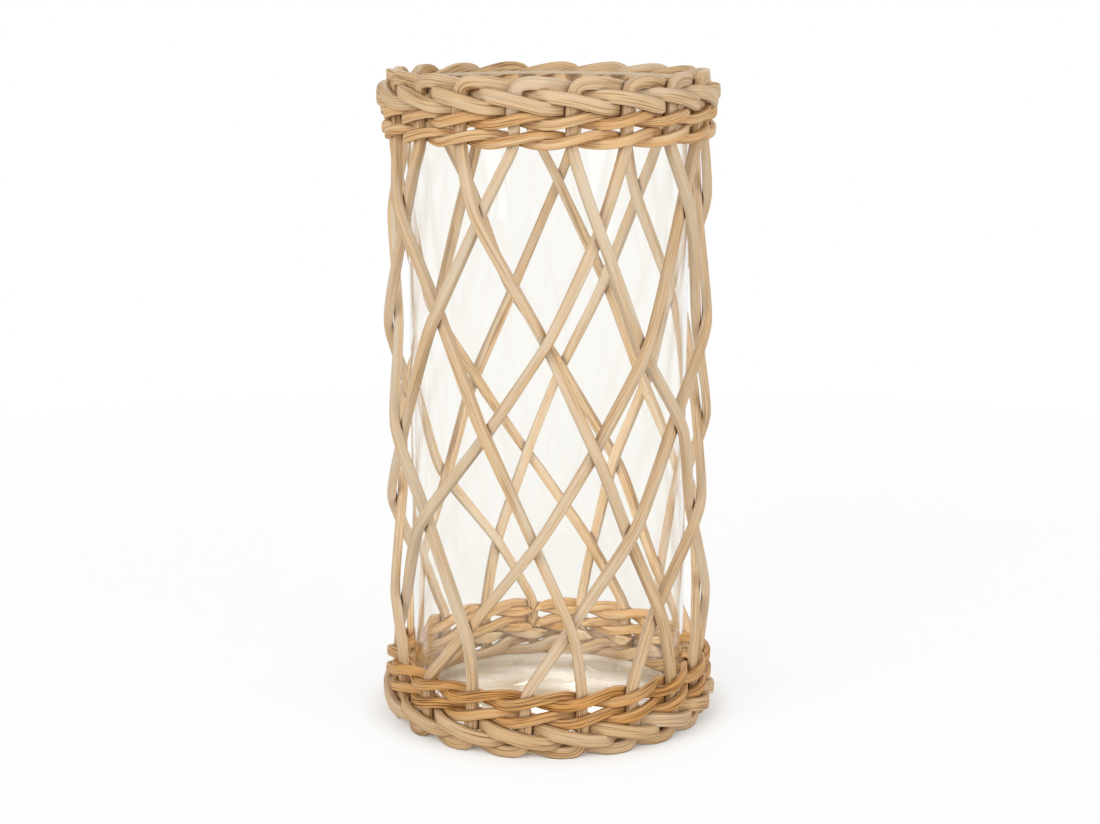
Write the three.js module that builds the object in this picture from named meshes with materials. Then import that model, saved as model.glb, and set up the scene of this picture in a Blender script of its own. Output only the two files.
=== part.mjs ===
// A glass cylinder vase standing in an open sleeve of woven rattan.
//
// Eighteen stakes run the whole height. Nine lean to the right on their way down and nine to
// the left, and they pass over and under each other where they meet. Two rows of pairing, each
// of two thinner weavers twisted round the stakes, hold them at the rim and at the foot, and
// past those rows every stake bends over and is plaited into a border. The foot is woven like
// the rim, turned upside down. The glass stands inside, on the table, and lifts out upwards.
//
// Millimetres, +Z up. The origin is on the table, in the middle of the foot. Angles are in
// degrees round the sleeve, from the front (-Y) towards the right (+X), and a step is the
// angle from one stake to the next.

import * as THREE from "three";

// Sleeve
const HEIGHT = 295; // table to the top of the rim border
const SLEEVE_RADIUS = 69; // to the middle of the stakes at the rim
const FOOT_SPREAD = 1.6; // how much further out the stakes are at the foot
const STAKES = 18; // an even number, half leaning each way
const FIRST_STAKE_ANGLE = 8;

// Cane, flattened a little where it lies against the sleeve
const STAKE_WIDTH = 4.8;
const STAKE_THICKNESS = 4;
const WEAVER_WIDTH = 3.7;
const WEAVER_THICKNESS = 2.8;
const CANE_GAP = 0.4; // between canes that lie on each other
const STAKE_SIDES = 6;
const WEAVER_SIDES = 5;
const WEAVER_RINGS = 3; // sections of a weaver for each step

// Open lattice
const CROSSING_SHARES = [0.135, 0.335, 0.53, 0.703, 0.87]; // of the way down, at each crossing
const RIGHT_STEPS = [0.45, 1.5, 2.33, 3.15, 4]; // steps turned by then, leaning right
const FOOT_TWIST = -0.8; // steps that the foot is turned against the rim
const LEAN_AT_BAND = 0.8; // of the lean from there to the first crossing
const LATTICE_BULGE = 0.4; // how far the lattice stands out beyond the bands
const CROSSING_FLAT = 3.84; // half the height over which crossing stakes lie level
const BORDER_STAND = 0.9; // how far out the plaiting pushes the stakes
const OUTER_ROW_STAND = 0.45; // what is left of that in the row of pairing next to it

// How far the weaver's hand strayed at each crossing, for every stake that leans right, from
// the top row down: degrees to the right, and millimetres up.
const STRAY_ANGLES = [
  [1, 1, 0, 5, -1, -3, 2, -2, -2],
  [-2, -1, 4, -1, -3, -5, -3, -1, 1],
  [-1, -1, 3, 0, -4, -5, -5, 3, 2],
  [-2, 2, 1, -2, -4, -6, -2, 4, -1],
  [-3, 1, -6, -7, -6, 0, 2, 0, -5],
];
const STRAY_UP = [
  [-6, 2, 3, 1, 4, 2, -2, 4, 2],
  [-7, -2, -1, 3, 0, -4, -3, 4, -4],
  [2, -1, 6, 8, 3, 2, -1, 4, -5],
  [4, 0, 3, 7, 2, 0, 0, -4, 0],
  [-2, -4, 1, 1, -2, -1, -3, -1, 0],
];
const FOOT_SLIP_ANGLE = -5.5; // how far the foot slipped round at the back, fading to the front

// Glass
const GLASS_CLEARANCE = 0.6; // between the glass and the innermost cane
const GLASS_DROP = 3.6; // from the top of the border down to the rim of the glass
const GLASS_WALL = 2.6;
const GLASS_BASE = 3.2;
const HEEL_ROUND = 2.4;
const GLASS_SEGMENTS = 32;
const ROUND_FACETS = 2; // across each rounding of the rim and the heel

const STEP = 360 / STAKES;
const PAIRS = STAKES / 2;

// From the middle of one cane to the middle of the next, across the sleeve and along it
const STAKE_ON_STAKE = STAKE_THICKNESS + CANE_GAP;
const WEAVER_ON_STAKE = (STAKE_THICKNESS + WEAVER_THICKNESS) / 2 + CANE_GAP;
const BORDER_LEVEL = STAKE_WIDTH + CANE_GAP;
const WEAVER_LEVEL = WEAVER_WIDTH + CANE_GAP;

// Bands of weaving, measured in from the edge of the sleeve: a border three canes deep, two
// rows of pairing two weavers deep, and then the lattice
const BORDER_DEPTH = 2 * BORDER_LEVEL + STAKE_WIDTH;
const OUTER_ROW_INSET = BORDER_DEPTH + CANE_GAP + WEAVER_WIDTH / 2;
const ROW_PITCH = 2 * WEAVER_LEVEL;
const BAND_DEPTH = OUTER_ROW_INSET + ROW_PITCH + WEAVER_WIDTH / 2;

const CANE_INSIDE = Math.max(
  STAKE_ON_STAKE + STAKE_THICKNESS / 2 - BORDER_STAND,
  WEAVER_ON_STAKE + WEAVER_THICKNESS / 2,
);
const GLASS_RADIUS = SLEEVE_RADIUS + Math.min(FOOT_SPREAD, 0) - CANE_INSIDE - GLASS_CLEARANCE;

const stakeCane = new THREE.MeshStandardMaterial({ color: 0xd9b98c, roughness: 0.65, metalness: 0 });
const weaverCane = new THREE.MeshStandardMaterial({ color: 0xc99a5f, roughness: 0.6, metalness: 0 });
const clearGlass = new THREE.MeshStandardMaterial({
  color: 0xeef3ee,
  roughness: 0.05,
  metalness: 0,
  transparent: true,
  opacity: 0.3,
});

// A point of a cane is its angle, its height and how far it lies outside the line of stakes.
const at = (angle, height, out) => ({ angle, height, out });

function outward(point) {
  const turned = THREE.MathUtils.degToRad(point.angle);
  return new THREE.Vector3(Math.sin(turned), -Math.cos(turned), 0);
}

function place(point) {
  const line = SLEEVE_RADIUS + FOOT_SPREAD * (1 - point.height / HEIGHT);
  return outward(point)
    .multiplyScalar(line + point.out)
    .setZ(point.height);
}

// The path of a cane, with a section at each of its points and the flat side to the sleeve.
class CanePath extends THREE.Curve {
  constructor(points) {
    super();
    this.points = points;
    this.centres = points.map(place);
  }

  getPoint(share, target = new THREE.Vector3()) {
    const last = this.centres.length - 1;
    const span = Math.min(Math.floor(share * last), last - 1);
    return target.lerpVectors(this.centres[span], this.centres[span + 1], share * last - span);
  }

  getSpacedPoints() {
    return this.centres;
  }

  computeFrenetFrames() {
    const last = this.centres.length - 1;
    const tangents = this.centres.map((_, i) => {
      const before = this.centres[Math.max(i - 1, 0)];
      const after = this.centres[Math.min(i + 1, last)];
      return after.clone().sub(before).normalize();
    });
    const normals = tangents.map((tangent, i) => tangent.clone().cross(outward(this.points[i])).normalize());
    const binormals = tangents.map((tangent, i) => tangent.clone().cross(normals[i]));
    return { tangents, normals, binormals };
  }
}

function cane(points, width, thickness, sides) {
  const section = new THREE.Shape(
    Array.from({ length: sides }, (_, i) => {
      const turn = (2 * Math.PI * i) / sides;
      return new THREE.Vector2((Math.cos(turn) * width) / 2, (Math.sin(turn) * thickness) / 2);
    }),
  );
  return new THREE.ExtrudeGeometry(section, { steps: points.length - 1, extrudePath: new CanePath(points) });
}

// The plaited end of a stake, from its tip back to where the stake stands upright: steps past
// its own place, level in the border with 0 the topmost, and 1 in front of the stakes to -1
// behind them. Read backwards, the stake bends over to the right, goes behind the next stake,
// in front of the second and behind the third.
const PLAITED_END = [
  [3.3, 2, -1.04],
  [3, 2, -1.04],
  [2.75, 2, -0.1],
  [2.5, 1.9, 0.9],
  [2.2, 1.54, 1],
  [1.95, 1.25, 1],
  [1.6, 1, 0.57],
  [1.4, 1, -0.34],
  [1.2, 0.7, -1],
  [0.95, 0.4, -1],
  [0.7, 0.17, -0.55],
  [0.45, 0, -0.07],
  [0.22, 0.02, 0],
  [0.07, 0.36, 0],
  [0, 2.5, 0],
];

function rimEnd(angle) {
  const plaited = PLAITED_END.map(([steps, level, side]) => {
    const depth = STAKE_WIDTH / 2 + level * BORDER_LEVEL;
    return at(angle + steps * STEP, HEIGHT - depth, BORDER_STAND + side * STAKE_ON_STAKE);
  });
  const row = at(angle, HEIGHT - OUTER_ROW_INSET, OUTER_ROW_STAND);
  return [...plaited, row, at(angle, HEIGHT - BAND_DEPTH, 0)];
}

function slipped(angle) {
  return angle + (FOOT_SLIP_ANGLE * (1 - Math.cos(THREE.MathUtils.degToRad(angle)))) / 2;
}

// The foot end is the rim end turned half round about a level line that points out of the sleeve.
function footEnd(angle) {
  return rimEnd(0)
    .map((point) => at(slipped(angle - point.angle), HEIGHT - point.height, point.out))
    .reverse();
}

// Where the crossing in a row lies that a stake leaning right makes. Stakes are counted from
// the first, and any whole number stands for the stake that comes round to it.
function crossing(row, rightStake) {
  const own = THREE.MathUtils.euclideanModulo(rightStake, PAIRS) % STRAY_UP[row].length;
  const steps = 2 * rightStake + RIGHT_STEPS[row];
  const down = CROSSING_SHARES[row] * (HEIGHT - 2 * BAND_DEPTH);
  return {
    angle: FIRST_STAKE_ANGLE + steps * STEP + STRAY_ANGLES[row][own],
    height: HEIGHT - BAND_DEPTH - down + STRAY_UP[row][own],
  };
}

// A stake between its ends, level for a short way at each crossing and smooth from one to the
// next. Stakes that lean right lie on top at the first crossing, and after that by turns.
function openStretch(start, end, crossings, onTopFirst) {
  const stops = [start, ...crossings, end];
  const lean = stops.map((stop, i) => {
    const above = stops[Math.max(i - 1, 0)];
    const below = stops[Math.min(i + 1, stops.length - 1)];
    const straight = (below.angle - above.angle) / (below.height - above.height);
    return above === stop || below === stop ? LEAN_AT_BAND * straight : straight;
  });
  const angleAt = (i, height) => {
    const a = stops[i];
    const b = stops[i + 1];
    const span = b.height - a.height;
    const t = (height - a.height) / span;
    const toB = t * t * (3 - 2 * t);
    const bends = t * (1 - t) * (1 - t) * lean[i] - t * t * (1 - t) * lean[i + 1];
    return THREE.MathUtils.lerp(a.angle, b.angle, toB) + span * bends;
  };
  const outAt = (i) => LATTICE_BULGE + ((i % 2 === 1) === onTopFirst ? 1 : -1) * (STAKE_ON_STAKE / 2);
  const last = stops.length - 2;
  const points = [];
  for (let i = 0; i <= last; i++) {
    const above = stops[i].height - (i > 0 ? CROSSING_FLAT : 0);
    const below = stops[i + 1].height + (i < last ? CROSSING_FLAT : 0);
    const middle = (above + below) / 2;
    if (i > 0) points.push(at(angleAt(i, above), above, outAt(i)));
    if (i === 0) points.push(at(angleAt(i, middle), middle, outAt(1) / 2));
    if (i === last) points.push(at(angleAt(i, middle), middle, outAt(last) / 2));
    if (i < last) points.push(at(angleAt(i, below), below, outAt(i + 1)));
  }
  return points;
}

function stake(index) {
  const leansRight = index % 2 === 0;
  const pair = Math.floor(index / 2);
  const rows = RIGHT_STEPS.map((_, row) => row);
  const turned = (leansRight ? rows.length : -rows.length) + FOOT_TWIST;
  const angle = FIRST_STAKE_ANGLE + index * STEP;
  const footAngle = angle + turned * STEP;
  const crossings = rows.map((row) => crossing(row, leansRight ? pair : pair - row));
  const start = at(angle, HEIGHT - BAND_DEPTH, 0);
  const end = at(slipped(footAngle), BAND_DEPTH, 0);
  const points = [...rimEnd(angle), ...openStretch(start, end, crossings, leansRight), ...footEnd(footAngle)];
  return cane(points, STAKE_WIDTH, STAKE_THICKNESS, STAKE_SIDES);
}

// One of the two weavers of a pairing row. It winds round the stakes once, behind one and in
// front of the next, rising to the right in front, and its cut ends meet behind a stake.
function weaver(height, stand, stakeAngle, placed = (angle) => angle) {
  const rings = STAKES * WEAVER_RINGS;
  const cutBack = CANE_GAP / THREE.MathUtils.degToRad(STEP) / SLEEVE_RADIUS;
  const points = [];
  for (let i = 0; i <= rings; i++) {
    const steps = THREE.MathUtils.clamp(i / WEAVER_RINGS, cutBack, STAKES - cutBack);
    const turn = Math.PI * steps;
    const rise = (-Math.sin(turn) * WEAVER_LEVEL) / 2;
    const out = stand - Math.cos(turn) * WEAVER_ON_STAKE;
    points.push(at(placed(stakeAngle + steps * STEP), height + rise, out));
  }
  return cane(points, WEAVER_WIDTH, WEAVER_THICKNESS, WEAVER_SIDES);
}

function glassCylinder() {
  const height = HEIGHT - GLASS_DROP;
  const inner = GLASS_RADIUS - GLASS_WALL;
  const rimRound = GLASS_WALL / 2;
  const outline = new THREE.Path();
  outline.moveTo(0, 0);
  outline.lineTo(GLASS_RADIUS - HEEL_ROUND, 0);
  outline.quadraticCurveTo(GLASS_RADIUS, 0, GLASS_RADIUS, HEEL_ROUND);
  outline.absarc(GLASS_RADIUS - rimRound, height - rimRound, rimRound, 0, Math.PI);
  outline.lineTo(inner, GLASS_BASE + HEEL_ROUND);
  outline.quadraticCurveTo(inner, GLASS_BASE, inner - HEEL_ROUND, GLASS_BASE);
  outline.lineTo(0, GLASS_BASE);
  const geometry = new THREE.LatheGeometry(outline.getPoints(ROUND_FACETS), GLASS_SEGMENTS);
  return geometry.rotateX(Math.PI / 2);
}

const vase = new THREE.Group();

function add(name, geometry, material) {
  const mesh = new THREE.Mesh(geometry, material);
  mesh.name = name;
  vase.add(mesh);
}

add("glass_cylinder", glassCylinder(), clearGlass);

for (let index = 0; index < STAKES; index++) {
  const side = index % 2 === 0 ? "right" : "left";
  add(`stake_${side}_${Math.floor(index / 2) + 1}`, stake(index), stakeCane);
}

const backStake = FIRST_STAKE_ANGLE + PAIRS * STEP;
for (const [letter, along] of Object.entries({ a: 0, b: STEP })) {
  const rim = backStake + along;
  const foot = rim + FOOT_TWIST * STEP;
  const outer = OUTER_ROW_INSET;
  const inner = OUTER_ROW_INSET + ROW_PITCH;
  add(`rim_outer_weaver_${letter}`, weaver(HEIGHT - outer, OUTER_ROW_STAND, rim), weaverCane);
  add(`rim_inner_weaver_${letter}`, weaver(HEIGHT - inner, 0, rim), weaverCane);
  add(`foot_inner_weaver_${letter}`, weaver(inner, 0, foot, slipped), weaverCane);
  add(`foot_outer_weaver_${letter}`, weaver(outer, OUTER_ROW_STAND, foot, slipped), weaverCane);
}

export default vase;
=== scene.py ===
import math

import bmesh
import bpy
import numpy as np
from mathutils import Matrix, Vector


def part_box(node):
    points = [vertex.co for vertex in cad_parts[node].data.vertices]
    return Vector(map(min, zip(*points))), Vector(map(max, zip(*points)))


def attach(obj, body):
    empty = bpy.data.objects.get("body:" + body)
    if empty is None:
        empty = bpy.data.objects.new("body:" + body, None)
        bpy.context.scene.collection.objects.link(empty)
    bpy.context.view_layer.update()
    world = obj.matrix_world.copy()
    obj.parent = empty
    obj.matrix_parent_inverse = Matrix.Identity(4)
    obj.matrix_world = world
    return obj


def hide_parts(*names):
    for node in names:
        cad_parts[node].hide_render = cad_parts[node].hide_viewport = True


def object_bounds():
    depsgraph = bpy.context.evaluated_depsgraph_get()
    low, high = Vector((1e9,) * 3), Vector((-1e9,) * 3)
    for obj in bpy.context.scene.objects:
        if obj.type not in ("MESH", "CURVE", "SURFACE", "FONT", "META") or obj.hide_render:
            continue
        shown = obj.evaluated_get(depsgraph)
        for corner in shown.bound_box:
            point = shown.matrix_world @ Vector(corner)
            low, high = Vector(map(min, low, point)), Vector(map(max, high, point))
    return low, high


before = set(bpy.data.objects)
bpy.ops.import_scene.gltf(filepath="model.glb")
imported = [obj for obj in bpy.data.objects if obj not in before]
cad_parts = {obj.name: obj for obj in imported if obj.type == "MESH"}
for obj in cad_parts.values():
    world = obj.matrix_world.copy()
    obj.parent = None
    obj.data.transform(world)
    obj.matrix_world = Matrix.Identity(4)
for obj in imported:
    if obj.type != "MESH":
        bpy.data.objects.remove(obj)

bl_info = {
    "name": "Glass and rattan vase",
    "version": (1, 0, 0),
    "blender": (4, 5, 0),
    "location": "View3D > Sidebar > Vase",
    "description": "Dresses a glass cylinder and its woven rattan sleeve, under soft light",
    "category": "Object",
}

# The stakes and weavers follow the solids of the frame section by section, so they stay where
# those are, and the glass takes its size from its own solid.
CAD_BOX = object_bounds()
TOP = CAD_BOX[1][2]
STAKES = sorted(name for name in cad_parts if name.startswith("stake_"))
WEAVERS = sorted(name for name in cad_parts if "_weaver_" in name)
GLASS = "glass_cylinder"
GLASS_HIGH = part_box(GLASS)[1]

# Every length from here on is in metres, unless a comment says otherwise. A stretch of the
# sleeve is measured from the end that it lies at, and fades out over its own last part.
BORDER, BORDER_FADE = 0.022, 0.008
GOLDEN_FOOT, GOLDEN_FOOT_FADE = 0.040, 0.020
GOLDEN_RIM, GOLDEN_RIM_FADE = 0.050, 0.030

# How a cane departs from an even tube: how often its width, its thickness and its lean change,
# how much of each end is pared, and how much wears off the crisp edge of a cut end.
WIDTH_CHANGE, THICKNESS_CHANGE, LEAN_CHANGE = 0.023, 0.031, 0.09
PARED_LENGTH = 0.009
WORN_EDGE = 0.0002


def linear(hex_colour):
    """The linear red, green, blue and alpha of an sRGB colour written as #RRGGBB."""
    parts = [int(hex_colour[i : i + 2], 16) / 255 for i in (1, 3, 5)]
    return [c / 12.92 if c <= 0.04045 else ((c + 0.055) / 1.055) ** 2.4 for c in parts] + [1.0]


def colour(name, description, hex_colour):
    """A colour of the settings, from its sRGB hex value."""
    return bpy.props.FloatVectorProperty(
        name=name,
        description=description,
        subtype="COLOR",
        size=4,
        min=0,
        max=1,
        default=linear(hex_colour),
    )


def length(name, description, metres):
    """A length of the settings."""
    return bpy.props.FloatProperty(
        name=name, description=description, default=metres, min=0, unit="LENGTH", precision=5
    )


def power(name, description, watts):
    """The power of a lamp in the settings."""
    return bpy.props.FloatProperty(
        name=name, description=description, default=watts, min=0, unit="POWER"
    )


class VaseCaneSettings(bpy.types.PropertyGroup):
    """Sizes and colours of the canes."""

    stake_width: length("Stake width", "Width of a stake, across the face that shows", 0.00465)
    stake_thickness: length("Stake thickness", "Thickness of a stake, from the glass outwards", 0.0042)
    weaver_width: length("Weaver width", "Width of a weaver of the pairing rows", 0.0044)
    weaver_thickness: length("Weaver thickness", "Thickness of a weaver of the pairing rows", 0.0031)
    section_spacing: length("Section spacing", "Distance from one section of a cane to the next", 0.0018)
    border_swell: bpy.props.FloatProperty(
        name="Border swell",
        description="How much wider the stakes are in the borders, where they are pressed on each other",
        default=0.26,
        min=0,
        max=0.4,
    )
    unevenness: bpy.props.FloatProperty(
        name="Unevenness",
        description="How much a cane's width changes along it, as a share of the width",
        default=0.05,
        min=0,
        max=0.2,
    )
    fibres: bpy.props.IntProperty(
        name="Loose fibres",
        description="Number of fibres that have split off the foot's weavers",
        default=9,
        min=0,
        max=40,
    )
    stake_ground: colour("Stake ground", "Pale straw of a peeled stake", "#D6C5AD")
    stake_golden: colour("Stake golden", "Warmer stretches of a stake", "#D4B184")
    stake_grain: colour("Stake grain", "Fine dark lines along a stake", "#8A6236")
    weaver_ground: colour("Weaver ground", "Lighter stretches of a weaver", "#DFBF94")
    weaver_golden: colour("Weaver golden", "Golden brown stretches of a weaver", "#CD9754")
    weaver_grain: colour("Weaver grain", "Dark lines along a weaver", "#704419")
    # Painted shade, laid into the creases between canes.
    crease_shade: colour("Crease", "Dust in the creases between canes", "#5A3614")


class VaseGlassSettings(bpy.types.PropertyGroup):
    """Sizes and colours of the glass cylinder."""

    wall: length("Wall", "Thickness of the glass wall", 0.0016)
    base: length("Base", "Thickness of the glass base", 0.0032)
    heel: length("Heel", "Rounding where the wall meets the base", 0.0024)
    tint: colour("Tint", "What light that has passed a wall of the glass turns to", "#FDFCF9")
    # Its cream colour is a painted reflection of the canes along the lip.
    lip: colour("Lip", "What the ground lip of the glass scatters", "#DCCFB8")
    # Painted reflection and shade: the colour of the canes mirrored in the base and of the shade under the
    # vase.
    base_painted_reflection: colour("Base tint", "What light that has passed the thick base turns to", "#CFC3B2")


class VaseStageSettings(bpy.types.PropertyGroup):
    """Light and floor."""

    lamp_power: power("Lamp power", "Power of the main lamp", 16.5)
    fill_power: power("Fill power", "Power of the weak lamp in the vase", 0.06)
    sky_strength: bpy.props.FloatProperty(
        name="Sky strength", description="How strongly the white room lights the vase", default=0.4, min=0
    )
    floor_colour: colour("Floor", "The pale floor", "#F4F2EE")


def add_node(tree, kind, inputs=None, stops=None, **settings):
    """Adds a node and sets it. An input is a value or the output of another node, which is linked,
    and stops are the places and colours of a colour ramp."""
    node = tree.nodes.new("ShaderNode" + kind)
    for name, value in settings.items():
        setattr(node, name, value)
    for name, value in (inputs or {}).items():
        if isinstance(value, bpy.types.NodeSocket):
            tree.links.new(value, node.inputs[name])
        else:
            node.inputs[name].default_value = value
    for place, (at, shade) in enumerate(stops or []):
        ramp = node.color_ramp.elements
        stop = ramp[place] if place < 2 else ramp.new(at)
        stop.position = at
        stop.color = shade
    return node


def new_material(name):
    """An empty material and its node tree."""
    material = bpy.data.materials.new(name)
    material.use_nodes = True
    material.node_tree.nodes.clear()
    return material, material.node_tree


def new_object(name, data):
    """Puts a mesh, a lamp or a camera in the scene."""
    made = bpy.data.objects.new(name, data)
    bpy.context.scene.collection.objects.link(made)
    return made


def cane_material(name, ground, golden, grain, crease_shade, roughness, line_length, line_depth, pale_dirt):
    """Peeled rattan core, split from the stem and drawn round, with no coat. Its fibres run along
    it, so it has fine lines that way, a tone that drifts along each cane, and a dry soft gloss.
    The line length is in millimetres, and the pale dirt is how dark the pores are in pale cane."""
    material, tree = new_material(name)
    # Millimetres across, through and along the cane, as if it lay straight, so that the grain
    # bends with it. Each cane starts at its own place along the grain.
    straight = add_node(tree, "Attribute", attribute_name="straight_mm").outputs["Vector"]
    golden_share = add_node(tree, "Attribute", attribute_name="golden").outputs["Fac"]

    # The tone drifts over 40 mm or so along the cane, and hardly across it.
    drift_scale = (1 / 5, 1 / 5, 1 / 40)
    drift_at = add_node(tree, "Mapping", {"Vector": straight, "Scale": drift_scale})
    drift = add_node(
        tree, "TexNoise", {"Vector": drift_at.outputs[0], "Scale": 1, "Detail": 2, "Roughness": 0.5}
    )
    strength = 1.1
    drifted = add_node(
        tree, "Math", {0: drift.outputs[0], 1: 2 * strength, 2: -strength}, operation="MULTIPLY_ADD"
    )
    share = add_node(
        tree, "Math", {0: drifted.outputs[0], 1: golden_share}, operation="ADD", use_clamp=True
    )
    tone = add_node(tree, "Mix", {0: share.outputs[0], 6: ground, 7: golden}, data_type="RGBA")

    # Soft bands where bundles of fibres lie, and between them the thin dark lines of open pores.
    # Real pores are about 0.3 mm apart; they are drawn every 0.6 mm or so, in bands 1.3 mm wide, so
    # that they show from a step away.
    lines_apart = 1.2
    lines_scale = (1 / lines_apart, 1 / lines_apart, 1 / line_length)
    lines_at = add_node(tree, "Mapping", {"Vector": straight, "Scale": lines_scale})
    bundles = add_node(
        tree, "TexNoise", {"Vector": lines_at.outputs[0], "Scale": 0.9, "Detail": 1, "Roughness": 0.5}
    )
    banded = add_node(
        tree, "MapRange", {"Value": bundles.outputs[0], "From Min": 0.35, "From Max": 0.66, "To Max": 0.7}
    )
    pores = add_node(
        tree, "TexNoise", {"Vector": lines_at.outputs[0], "Scale": 2.1, "Detail": 1.5, "Roughness": 0.6}
    )
    lined = add_node(
        tree,
        "MapRange",
        {"Value": pores.outputs[0], "From Min": 0.52, "From Max": 0.62, "To Max": line_depth},
    )
    # The pores have gathered more dirt where the cane is more golden.
    golden_dirt = 1.3
    dirt = add_node(
        tree,
        "Math",
        {0: share.outputs[0], 1: golden_dirt - pale_dirt, 2: pale_dirt},
        operation="MULTIPLY_ADD",
    )
    marked = add_node(
        tree, "Math", {0: lined.outputs[0], 1: dirt.outputs[0]}, operation="MULTIPLY", use_clamp=True
    )
    with_bands = add_node(
        tree, "Mix", {0: banded.outputs[0], 6: tone.outputs[2], 7: golden}, data_type="RGBA"
    )
    with_lines = add_node(
        tree, "Mix", {0: marked.outputs[0], 6: with_bands.outputs[2], 7: grain}, data_type="RGBA"
    )
    # Painted shade: the creases where canes press on each other are darkened, up to 1.4 mm from a touch,
    # the more the closer in a point is.
    open_sky = add_node(tree, "AmbientOcclusion", {"Distance": 0.0014}, samples=8)
    painted_crease_shade = add_node(
        tree,
        "MapRange",
        {"Value": open_sky.outputs["AO"], "From Min": 0.2, "From Max": 0.9, "To Min": 0.8, "To Max": 0},
    )
    coloured = add_node(
        tree, "Mix", {0: painted_crease_shade.outputs[0], 6: with_lines.outputs[2], 7: crease_shade}, data_type="RGBA"
    )

    rougher, smoother = 0.1, 0.08
    rough = add_node(
        tree,
        "MapRange",
        {
            "Value": pores.outputs[0],
            "From Min": 0.3,
            "From Max": 0.7,
            "To Min": roughness - smoother,
            "To Max": roughness + rougher,
        },
    )
    relief = add_node(tree, "Math", {0: pores.outputs[0], 1: bundles.outputs[0]}, operation="ADD")
    bump = add_node(
        tree, "Bump", {"Height": relief.outputs[0], "Strength": 0.6, "Distance": 0.00025}, invert=True
    )
    surface = add_node(
        tree,
        "BsdfPrincipled",
        {
            "Base Color": coloured.outputs[2],
            "Roughness": rough.outputs[0],
            "IOR": 1.5,
            "Specular IOR Level": 0.35,
            "Normal": bump.outputs[0],
        },
    )
    add_node(tree, "OutputMaterial", {"Surface": surface.outputs[0]})
    return material


def sections(node):
    """The middles of a cane's sections from one cut end to the other, read from its solid. Each
    point of a section is joined to the next one, so counting steps from an end gives them."""
    solid = bmesh.new()
    solid.from_mesh(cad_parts[node].data)
    bmesh.ops.remove_doubles(solid, verts=solid.verts, dist=1e-6)
    solid.verts.ensure_lookup_table()

    def steps_from(start):
        seen = set(start)
        steps = [set(start)]
        while steps[-1]:
            near = {edge.other_vert(vert) for vert in steps[-1] for edge in vert.link_edges}
            steps.append(near - seen)
            seen |= near
        return steps[:-1]

    rings = steps_from(steps_from({solid.verts[0]})[-1])
    if len({len(ring) for ring in rings}) != 1:
        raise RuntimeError(f"{node} isn't a plain tube, so its sections can't be read")
    # A set has no order of its own, so the points are sorted, and every run rounds alike.
    middles = [np.mean(sorted(tuple(vert.co) for vert in ring), axis=0) for ring in rings]
    solid.free()
    return np.array(middles)


def smooth_path(points, spacing):
    """Points about the spacing apart, on one smooth curve through the given ones."""
    chords = np.linalg.norm(np.diff(points, axis=0), axis=1)
    knots = np.concatenate([[0], np.cumsum(np.sqrt(chords))])
    slopes = np.gradient(points, knots, axis=0)
    path = []
    for i, chord in enumerate(chords):
        span = knots[i + 1] - knots[i]
        steps = max(1, round(chord / spacing))
        for t in np.arange(steps) / steps:
            ahead = t * t * (3 - 2 * t)
            path.append(
                (1 - ahead) * points[i]
                + ahead * points[i + 1]
                + span * t * (1 - t) * ((1 - t) * slopes[i] - t * slopes[i + 1])
            )
    return np.array(path + [points[-1]])


def wander(randomness, distance, every):
    """A smooth random value from -1 to 1 at each distance, with a new one about every so often."""
    count = int(distance[-1] / every) + 3
    values = randomness.uniform(-1, 1, count)
    place = distance / every
    whole = place.astype(int)
    part = (place - whole) ** 2 * (3 - 2 * (place - whole))
    return values[whole] * (1 - part) + values[whole + 1] * part


def squarer(part):
    """Draws an oval out towards its corners, as a cane is that was planed flat on two sides. A
    power of 1 would keep the oval, and 0 would give a rectangle."""
    return np.sign(part) * np.abs(part) ** 0.38


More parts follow.
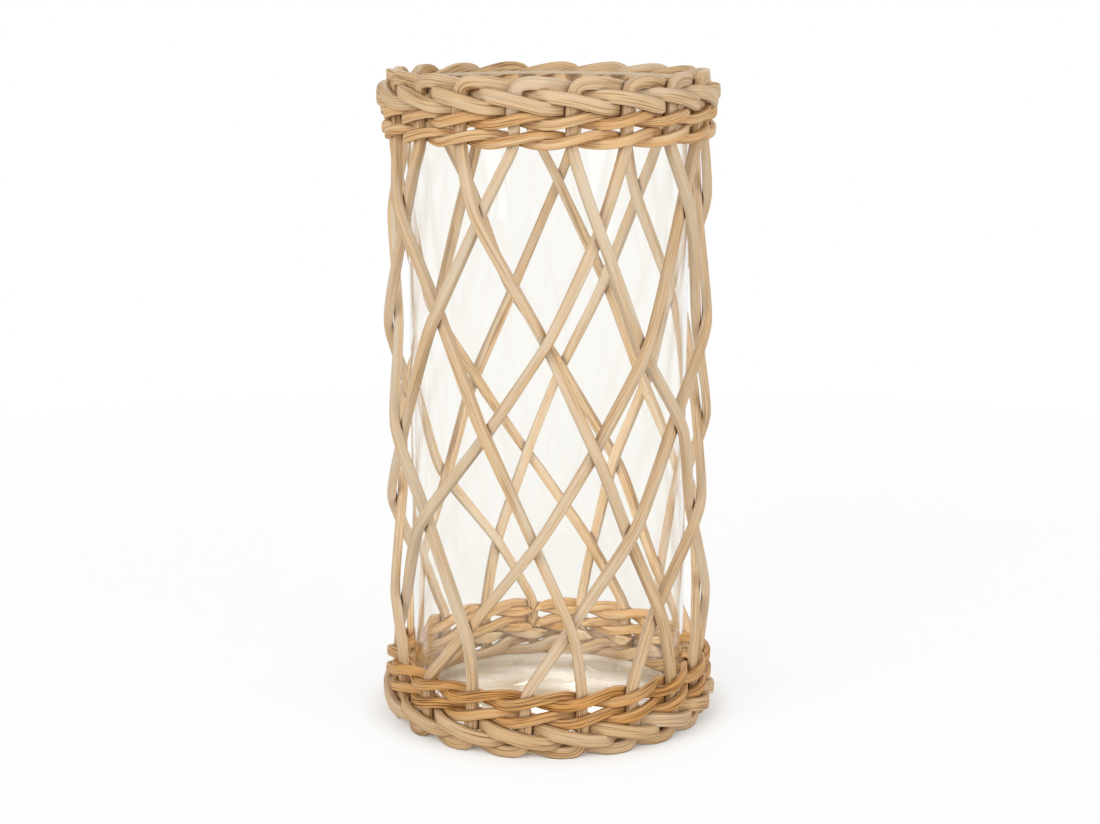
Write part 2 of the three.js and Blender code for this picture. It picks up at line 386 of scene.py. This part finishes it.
def cane(name, path, width, thickness, golden, sides, slant, pared, unevenness, seed):
    """A cane along the path, with a flattened section, its flat side to the sleeve, and slanted cut
    ends. Width, thickness and how golden it is are one value, or one for each point of the path. A
    cane that isn't golden at all has 0, and one that is golden all over has 1."""
    randomness = np.random.default_rng(seed)
    along = np.concatenate([[0], np.cumsum(np.linalg.norm(np.diff(path, axis=0), axis=1))])
    tangents = np.gradient(path, axis=0)
    tangents /= np.linalg.norm(tangents, axis=1)[:, None]
    outward = path * (1, 1, 0)
    across = np.cross(tangents, outward)
    across /= np.linalg.norm(across, axis=1)[:, None]
    through = np.cross(tangents, across)

    # The cutter leaves a slanted end with a crisp edge, worn off by a hair.
    near_start = path[:1] + WORN_EDGE * tangents[:1]
    near_finish = path[-1:] - WORN_EDGE * tangents[-1:]
    path = np.concatenate([path[:1], near_start, path[1:-1], near_finish, path[-1:]])
    width, thickness, golden = (
        np.broadcast_to(value, len(along)) for value in (width, thickness, golden)
    )
    along, tangents, across, through, width, thickness, golden = (
        np.concatenate([rows[:1], rows, rows[-1:]])
        for rows in (along, tangents, across, through, width, thickness, golden)
    )
    # Its ends are pared thinner, to lie close to the canes beside them, and the worn edge of a cut
    # end is a tenth smaller again.
    from_end = np.minimum(along - along[0], along[-1] - along)
    worn = 1 - pared * np.clip(1 - from_end / PARED_LENGTH, 0, 1) ** 2
    worn[[0, -1]] *= 0.9

    # The section is a little fuller along one slant, which turns as it goes along the cane.
    fuller = 0.25 * unevenness
    turn = 2 * np.pi * np.arange(sides) / sides
    wide = worn * width / 2 * (1 + unevenness * wander(randomness, along, WIDTH_CHANGE))
    thick = worn * thickness / 2 * (1 + unevenness * wander(randomness, along, THICKNESS_CHANGE))
    lean = 6 * wander(randomness, along, LEAN_CHANGE)
    leaning = 1 + fuller * np.sin(2 * turn[None] + lean[:, None])
    reach_across = squarer(np.cos(turn))[None] * wide[:, None] * leaning
    reach_through = squarer(np.sin(turn))[None] * thick[:, None] * leaning
    points = (
        path[:, None]
        + across[:, None] * reach_across[:, :, None]
        + through[:, None] * reach_through[:, :, None]
    )
    # Each end is cut on a slant, which draws the sections behind it over too, less and less, up to
    # about three widths from the end.
    for end, inward in ((0, 1), (-1, -1)):
        cut_back = slant * (reach_across[end] - reach_across[end].min())
        drawn_length = 3 * slant * width[end] + WORN_EDGE
        drawn = np.clip(1 - np.abs(along - along[end]) / drawn_length, 0, 1)
        points += inward * tangents[:, None] * (drawn[:, None] * cut_back[None])[:, :, None]
    points[:, :, 2] = np.maximum(points[:, :, 2], 0)  # pressed flat where it stands on the table

    rings = len(path)
    corner = np.arange(rings * sides).reshape(rings, sides)
    following = np.roll(corner, -1, axis=1)
    walls = np.stack([corner[:-1], following[:-1], following[1:], corner[1:]], axis=-1).reshape(-1, 4)
    faces = [*walls.tolist(), corner[0][::-1].tolist(), corner[-1].tolist()]
    mesh = bpy.data.meshes.new(name)
    mesh.from_pydata(points.reshape(-1, 3).tolist(), [], faces)
    mesh.polygons.foreach_set("use_smooth", [True] * len(walls) + [False, False])

    # The grain starts up to 5 m along, and each cane is a little more or less golden than others.
    start = randomness.uniform(0, 5)
    lengthwise = np.broadcast_to(along[:, None] + start, (rings, sides))
    straight_mm = 1000 * np.stack([reach_across, reach_through, lengthwise], axis=-1)
    shade = np.repeat(golden + 0.35 * randomness.uniform(-1, 1), sides)
    mesh.attributes.new("straight_mm", "FLOAT_VECTOR", "POINT").data.foreach_set(
        "vector", straight_mm.ravel()
    )
    mesh.attributes.new("golden", "FLOAT", "POINT").data.foreach_set("value", shade)
    mesh.update()
    return new_object(name, mesh)


def within(distance, reach, fade):
    """Is 1 inside the reach and falls to 0 over its last part, the fade."""
    return np.clip((reach - distance) / fade, 0, 1)


def painted_light_front_share(path):
    """Is 1 round the front of the sleeve and falls to 0 at the back, for each point of a path. The canes
    are drawn paler where it is low, which is painted light in place of light on the inner side of the
    back.
    """
    return np.clip(0.8 - 0.8 * path[:, 1] / np.hypot(path[:, 0], path[:, 1]), 0, 1)


def dress(piece, node, material):
    """Puts the piece on the sleeve in place of the frame's cane."""
    piece.data.materials.append(material)
    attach(piece, "sleeve")
    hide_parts(node)


class VASE_OT_stakes(bpy.types.Operator):
    """Make the stakes that form the lattice and both plaited borders"""

    bl_idname = "vase.stakes"
    bl_label = "Stakes"

    def execute(self, context):
        settings = context.scene.vase_canes
        material = cane_material(
            "Peeled rattan core, pale",
            settings.stake_ground,
            settings.stake_golden,
            settings.stake_grain,
            settings.crease_shade,
            roughness=0.62,
            line_length=60,
            line_depth=0.7,
            pale_dirt=0.1,
        )
        for number, node in enumerate(STAKES):
            path = smooth_path(sections(node), settings.section_spacing)
            up = path[:, 2]
            # In the borders the stakes are pressed on each other, which spreads them, and they are drawn
            # more golden there. At the foot they are more golden at the front than at the back: the paler
            # back is painted light, in place of light on the inner side of the back.
            pressed = within(np.minimum(up, TOP - up), BORDER, BORDER_FADE)
            at_foot = within(up, GOLDEN_FOOT, GOLDEN_FOOT_FADE) * (0.3 + 0.7 * painted_light_front_share(path))
            at_rim = within(TOP - up, GOLDEN_RIM, GOLDEN_RIM_FADE)
            piece = cane(
                "cane_" + node,
                path,
                width=settings.stake_width * (1 + settings.border_swell * pressed),
                thickness=settings.stake_thickness * (1 - 0.5 * settings.border_swell * pressed),
                golden=0.3 + 0.55 * at_foot + 0.35 * at_rim,
                sides=20,
                slant=0.9,
                pared=0.4,
                unevenness=settings.unevenness,
                seed=[number, 16],
            )
            dress(piece, node, material)
        return {"FINISHED"}


class VASE_OT_weavers(bpy.types.Operator):
    """Make the paired weavers that bind the stakes at the rim and at the foot"""

    bl_idname = "vase.weavers"
    bl_label = "Weavers"

    def execute(self, context):
        settings = context.scene.vase_canes
        material = cane_material(
            "Peeled rattan core, golden",
            settings.weaver_ground,
            settings.weaver_golden,
            settings.weaver_grain,
            settings.crease_shade,
            roughness=0.56,
            line_length=50,
            line_depth=0.8,
            pale_dirt=0.5,
        )
        for number, node in enumerate(WEAVERS):
            path = smooth_path(sections(node), settings.section_spacing)
            # The foot's weavers are the darker ones, and pale towards their ends at the back, which is
            # painted light in place of light on the inner side of the back.
            golden = 0.95 * painted_light_front_share(path) - 0.3 if node.startswith("foot") else 0.4
            piece = cane(
                "cane_" + node,
                path,
                width=settings.weaver_width,
                thickness=settings.weaver_thickness,
                golden=golden,
                sides=18,
                slant=0.9,
                pared=0.4,
                unevenness=settings.unevenness,
                seed=[number, 14],
            )
            dress(piece, node, material)
        return {"FINISHED"}


class VASE_OT_fibres(bpy.types.Operator):
    """Make the loose fibres that have split off the foot's weavers"""

    bl_idname = "vase.fibres"
    bl_label = "Loose fibres"

    def execute(self, context):
        settings = context.scene.vase_canes
        material = bpy.data.materials["Peeled rattan core, golden"]
        randomness = np.random.default_rng(5)
        hosts = [node for node in WEAVERS if node.startswith("foot_outer")]
        root_depth = 0.0002
        curl = 0.003
        root_width = 0.00036
        for number in range(settings.fibres):
            path = smooth_path(sections(hosts[number % len(hosts)]), settings.section_spacing)
            fronts = np.flatnonzero(path[:, 1] < 0)
            place = (number + randomness.uniform(0.1, 0.9)) / settings.fibres
            row = fronts[int(len(fronts) * place)]
            root = path[row]
            outward = root * (1, 1, 0) / np.hypot(root[0], root[1])
            onward = path[row + 1] - path[row]
            onward *= randomness.choice([-1, 1]) / np.linalg.norm(onward)
            # A fibre of 4 to 8 mm leaves the cane along it, curls away from it, and hangs or stands
            # a little.
            reach = randomness.uniform(0.004, 0.008)
            steps = np.linspace(0, 1, 8)[:, None]
            away = settings.weaver_thickness / 2 - root_depth + curl * steps**1.5
            bend = randomness.uniform(-0.5, 0.7) * reach
            off_middle = settings.weaver_width * randomness.uniform(-0.2, 0.2)
            rise = bend * steps**2 + off_middle
            fibre = root + onward * reach * steps + outward * away + np.array([0, 0, 1]) * rise
            thin = root_width * (1 - 0.7 * steps[:, 0])
            piece = cane(
                f"loose_fibre_{number + 1}",
                fibre,
                width=thin,
                thickness=thin,
                golden=0.0,
                sides=6,
                slant=0,
                pared=0,
                unevenness=0,
                seed=[number, 6],
            )
            piece.data.materials.append(material)
            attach(piece, "sleeve")
        return {"FINISHED"}


def arc(middle_out, middle_up, size, start, end, steps=8):
    """Points on an arc of an outline, from one angle to another, in degrees."""
    turns = [math.radians(start + (end - start) * i / steps) for i in range(steps + 1)]
    return [(middle_out + size * math.cos(t), middle_up + size * math.sin(t)) for t in turns]


def glass_outline(settings):
    """The outline of the glass from the middle of its foot, up outside, over the lip, down inside
    and back to the middle, as distances out and up."""
    radius = GLASS_HIGH.x
    top = GLASS_HIGH.z
    inner = radius - settings.wall
    heel = settings.heel
    lip = settings.wall / 2
    # Rows close to the rounded lip and heel keep the wall between them true, also in its gloss.
    near = 0.0004
    straight = (settings.base + heel + near, top / 2, top - lip - near)
    return (
        [(0.0, 0.0), (radius - heel - near, 0.0)]
        + arc(radius - heel, heel, heel, -90, 0)
        + [(radius, up) for up in straight]
        + arc(radius - lip, top - lip, lip, 0, 180)
        + [(inner, up) for up in straight[::-1]]
        + arc(inner - heel, settings.base + heel, heel, 0, -90)
        + [(inner - heel - near, settings.base), (0.0, settings.base)]
    )


def turned_mesh(name, outline, around):
    """A smooth mesh with the outline turned round the upright axis."""
    form = bmesh.new()
    rows = []
    turns = [2 * math.pi * i / around for i in range(around)]
    for out, up in outline:
        if out == 0:
            rows.append([form.verts.new((0, 0, up))] * around)
        else:
            rows.append([form.verts.new((out * math.cos(t), out * math.sin(t), up)) for t in turns])
    for below, above in zip(rows, rows[1:]):
        for i in range(around):
            j = (i + 1) % around
            corners = [below[i], below[j], above[j], above[i]]
            face = form.faces.new(list(dict.fromkeys(corners)))
            face.smooth = True
    bmesh.ops.recalc_face_normals(form, faces=form.faces)
    mesh = bpy.data.meshes.new(name)
    form.to_mesh(mesh)
    form.free()
    return mesh


def glass_material(settings):
    """Soda-lime glass, blown into a mould and fire-polished: clear and smooth. It shows mostly at
    its edges, where it turns grey, and the light of lamps goes through it. Its IOR is less than the
    1.5 of real glass, which would mirror and bend the canes into smears."""
    material, tree = new_material("Soda-lime glass, fire-polished")
    place = add_node(tree, "TexCoord").outputs["Object"]
    height = add_node(tree, "SeparateXYZ", {0: place}).outputs["Z"]
    # The thick base cooled in slow waves of 20 mm or so, which streak what shows in it. They fade
    # out up the wall.
    in_base = add_node(
        tree, "MapRange", {"Value": height, "From Min": 0.004, "From Max": 0.012, "To Min": 1, "To Max": 0}
    )
    stretched = add_node(tree, "Mapping", {"Vector": place, "Scale": (0.4, 1, 1)})
    waves = add_node(tree, "TexNoise", {"Vector": stretched.outputs[0], "Scale": 45, "Detail": 1})
    relief = add_node(tree, "Math", {0: waves.outputs[0], 1: in_base.outputs[0]}, operation="MULTIPLY")
    # Painted reflection and shade: the base is drawn in streaks of the canes' colour between clear ones,
    # in place of the canes mirrored in it and the shade under the vase.
    reflection_streak_share = add_node(
        tree,
        "MapRange",
        {"Value": waves.outputs[0], "From Min": 0.4, "From Max": 0.62, "To Min": 1, "To Max": 0},
    )
    painted_reflection_streaks = add_node(tree, "Math", {0: reflection_streak_share.outputs[0], 1: in_base.outputs[0]}, operation="MULTIPLY")
    tint = add_node(
        tree, "Mix", {0: painted_reflection_streaks.outputs[0], 6: settings.tint, 7: settings.base_painted_reflection}, data_type="RGBA"
    )
    bump = add_node(tree, "Bump", {"Height": relief.outputs[0], "Strength": 0.9, "Distance": 0.0008})
    clear = add_node(
        tree,
        "BsdfPrincipled",
        {
            "Base Color": tint.outputs[2],
            "Roughness": 0.0,
            "IOR": 1.3,
            "Specular IOR Level": 0.05,
            "Transmission Weight": 1.0,
            "Normal": bump.outputs[0],
        },
    )
    # The lip was ground and only half polished, so it scatters some of the light that falls on it, and
    # doesn't go dark where one looks down into the wall. Its cream colour is a painted reflection of the
    # canes along the lip.
    lip_starts = GLASS_HIGH.z - 0.0017
    lip_full = GLASS_HIGH.z - 0.0006
    lip = add_node(
        tree,
        "MapRange",
        {"Value": height, "From Min": lip_starts, "From Max": lip_full, "To Min": 0, "To Max": 0.7},
    )
    ground = add_node(tree, "BsdfDiffuse", {"Color": settings.lip, "Roughness": 1.0})
    finished = add_node(
        tree, "MixShader", {0: lip.outputs[0], 1: clear.outputs[0], 2: ground.outputs[0]}
    )
    passing = add_node(tree, "BsdfTransparent", {"Color": (1, 1, 1, 1)})
    ray = add_node(tree, "LightPath")
    either = add_node(
        tree,
        "MixShader",
        {0: ray.outputs["Is Shadow Ray"], 1: finished.outputs[0], 2: passing.outputs[0]},
    )
    add_node(tree, "OutputMaterial", {"Surface": either.outputs[0]})
    return material


class VASE_OT_glass(bpy.types.Operator):
    """Make the clear glass cylinder"""

    bl_idname = "vase.glass"
    bl_label = "Glass"

    def execute(self, context):
        settings = context.scene.vase_glass
        mesh = turned_mesh("clear_glass_cylinder", glass_outline(settings), around=128)
        mesh.materials.append(glass_material(settings))
        piece = new_object("clear_glass_cylinder", mesh)
        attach(piece, "glass")
        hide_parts(GLASS)
        return {"FINISHED"}


def seen_through(tree):
    """Is 1 for what the camera sees, also in gloss and through glass, and 0 for all other light."""
    ray = add_node(tree, "LightPath").outputs
    seen = add_node(tree, "Math", {0: ray["Is Camera Ray"], 1: ray["Is Glossy Ray"]}, operation="ADD")
    seen = add_node(
        tree, "Math", {0: seen.outputs[0], 1: ray["Is Transmission Ray"]}, operation="ADD", use_clamp=True
    )
    return seen.outputs[0]


def floor_material(settings):
    """A matt painted floor. The camera, gloss and glass see it lifted to white, and through that
    only a soft shade of its shadow. Under the vase it isn't lifted, and further out it is lifted in
    full, up to the white of the room."""
    material, tree = new_material("Matt painted floor")
    off_centre = add_node(
        tree, "VectorMath", {0: add_node(tree, "TexCoord").outputs["Object"]}, operation="LENGTH"
    )
    lifts = ((0.066, 0.0), (0.088, 0.8), (0.8, 1.0))
    lifted = add_node(
        tree,
        "ValToRGB",
        {"Fac": off_centre.outputs["Value"]},
        [(distance, (lift, lift, lift, 1)) for distance, lift in lifts],
    )
    lift = add_node(
        tree, "Math", {0: seen_through(tree), 1: lifted.outputs["Color"]}, operation="MULTIPLY"
    )
    matt = add_node(tree, "BsdfDiffuse", {"Color": settings.floor_colour, "Roughness": 1.0})
    white = add_node(tree, "Emission", {"Color": (1, 1, 1, 1), "Strength": 1.0})
    either = add_node(tree, "MixShader", {0: lift.outputs[0], 1: matt.outputs[0], 2: white.outputs[0]})
    add_node(tree, "OutputMaterial", {"Surface": either.outputs[0]})
    return material


def white_room(settings):
    """The world: white to the camera, gloss and glass, and a weaker white as light."""
    world = bpy.data.worlds.new("White room")
    world.use_nodes = True
    tree = world.node_tree
    tree.nodes.clear()
    room = add_node(tree, "Background", {"Color": (1, 1, 1, 1), "Strength": settings.sky_strength})
    white = add_node(tree, "Background", {"Color": (1, 1, 1, 1), "Strength": 1.0})
    either = add_node(tree, "MixShader", {0: seen_through(tree), 1: room.outputs[0], 2: white.outputs[0]})
    add_node(tree, "OutputWorld", {"Surface": either.outputs[0]})
    return world


def add_lamp(name, place, aimed_at, size, watts):
    """An oval lamp, aimed at a height on the middle line of the vase."""
    lamp = bpy.data.lights.new(name, "AREA")
    lamp.shape = "ELLIPSE"
    lamp.size, lamp.size_y = size
    lamp.energy = watts
    holder = new_object(name, lamp)
    holder.location = place
    aim = Vector((0, 0, aimed_at)) - Vector(place)
    holder.rotation_euler = aim.to_track_quat("-Z", "Y").to_euler()
    return holder


class VASE_OT_stage(bpy.types.Operator):
    """Make the pale floor, the white room, the lamps and the camera"""

    bl_idname = "vase.stage"
    bl_label = "Stage"

    def execute(self, context):
        scene = context.scene
        settings = scene.vase_stage
        scene.view_settings.view_transform = "Standard"

        # The floor lies a hair below the vase, so that the two faces don't flicker.
        reach = 6.0
        down = -0.0002
        mesh = bpy.data.meshes.new("floor")
        corners = [(-reach, -reach), (reach, -reach), (reach, reach), (-reach, reach)]
        mesh.from_pydata([(x, y, down) for x, y in corners], [], [(0, 1, 2, 3)])
        mesh.materials.append(floor_material(settings))
        new_object("floor", mesh)
        scene.world = white_room(settings)

        # Three large lamps, aimed a little above half the vase's height.
        watts = settings.lamp_power
        add_lamp("main_lamp", (-1.0, -1.3, 0.85), 0.16, (1.4, 1.4), watts)
        add_lamp("side_lamp", (1.15, -1.15, 0.65), 0.16, (1.4, 1.4), 0.7 * watts)
        add_lamp("back_lamp", (0.2, 1.6, 1.1), 0.16, (1.4, 1.4), 0.8 * watts)
        # A weak lamp in the glass, which itself doesn't show, lifts the inner side of the back.
        fill = add_lamp("fill_lamp", (0, -0.045, 0.07), 0.07, (0.08, 0.13), settings.fill_power)
        fill.visible_camera = False
        fill.visible_glossy = False
        fill.visible_transmission = False

        # The place, tilt and lens that give the perspective of the photograph.
        view = bpy.data.cameras.new("view")
        view.lens = 68.69
        view.sensor_width = 36
        camera = new_object("view", view)
        camera.location = (0.00068, -0.9405, 0.3392)
        camera.rotation_euler = (math.radians(78.04), 0, 0)
        scene.camera = camera
        return {"FINISHED"}


class VASE_PT_pieces(bpy.types.Panel):
    """Lists the pieces of the vase and their settings"""

    bl_idname = "VASE_PT_pieces"
    bl_label = "Glass and rattan vase"
    bl_space_type = "VIEW_3D"
    bl_region_type = "UI"
    bl_category = "Vase"

    def draw(self, context):
        for operator in OPERATORS:
            self.layout.operator(operator.bl_idname)
        for name in SETTINGS:
            settings = getattr(context.scene, name)
            for value in settings.__annotations__:
                self.layout.prop(settings, value)


OPERATORS = (VASE_OT_stakes, VASE_OT_weavers, VASE_OT_fibres, VASE_OT_glass, VASE_OT_stage)
SETTINGS = {
    "vase_canes": VaseCaneSettings,
    "vase_glass": VaseGlassSettings,
    "vase_stage": VaseStageSettings,
}


def register():
    for name, group in SETTINGS.items():
        bpy.utils.register_class(group)
        setattr(bpy.types.Scene, name, bpy.props.PointerProperty(type=group))
    for kind in (*OPERATORS, VASE_PT_pieces):
        bpy.utils.register_class(kind)


def unregister():
    for kind in (VASE_PT_pieces, *reversed(OPERATORS)):
        bpy.utils.unregister_class(kind)
    for name, group in SETTINGS.items():
        delattr(bpy.types.Scene, name)
        bpy.utils.unregister_class(group)


def main():
    register()
    bpy.ops.vase.stakes()
    bpy.ops.vase.weavers()
    bpy.ops.vase.fibres()
    bpy.ops.vase.glass()
    bpy.ops.vase.stage()


if __name__ == "__main__":
    main()
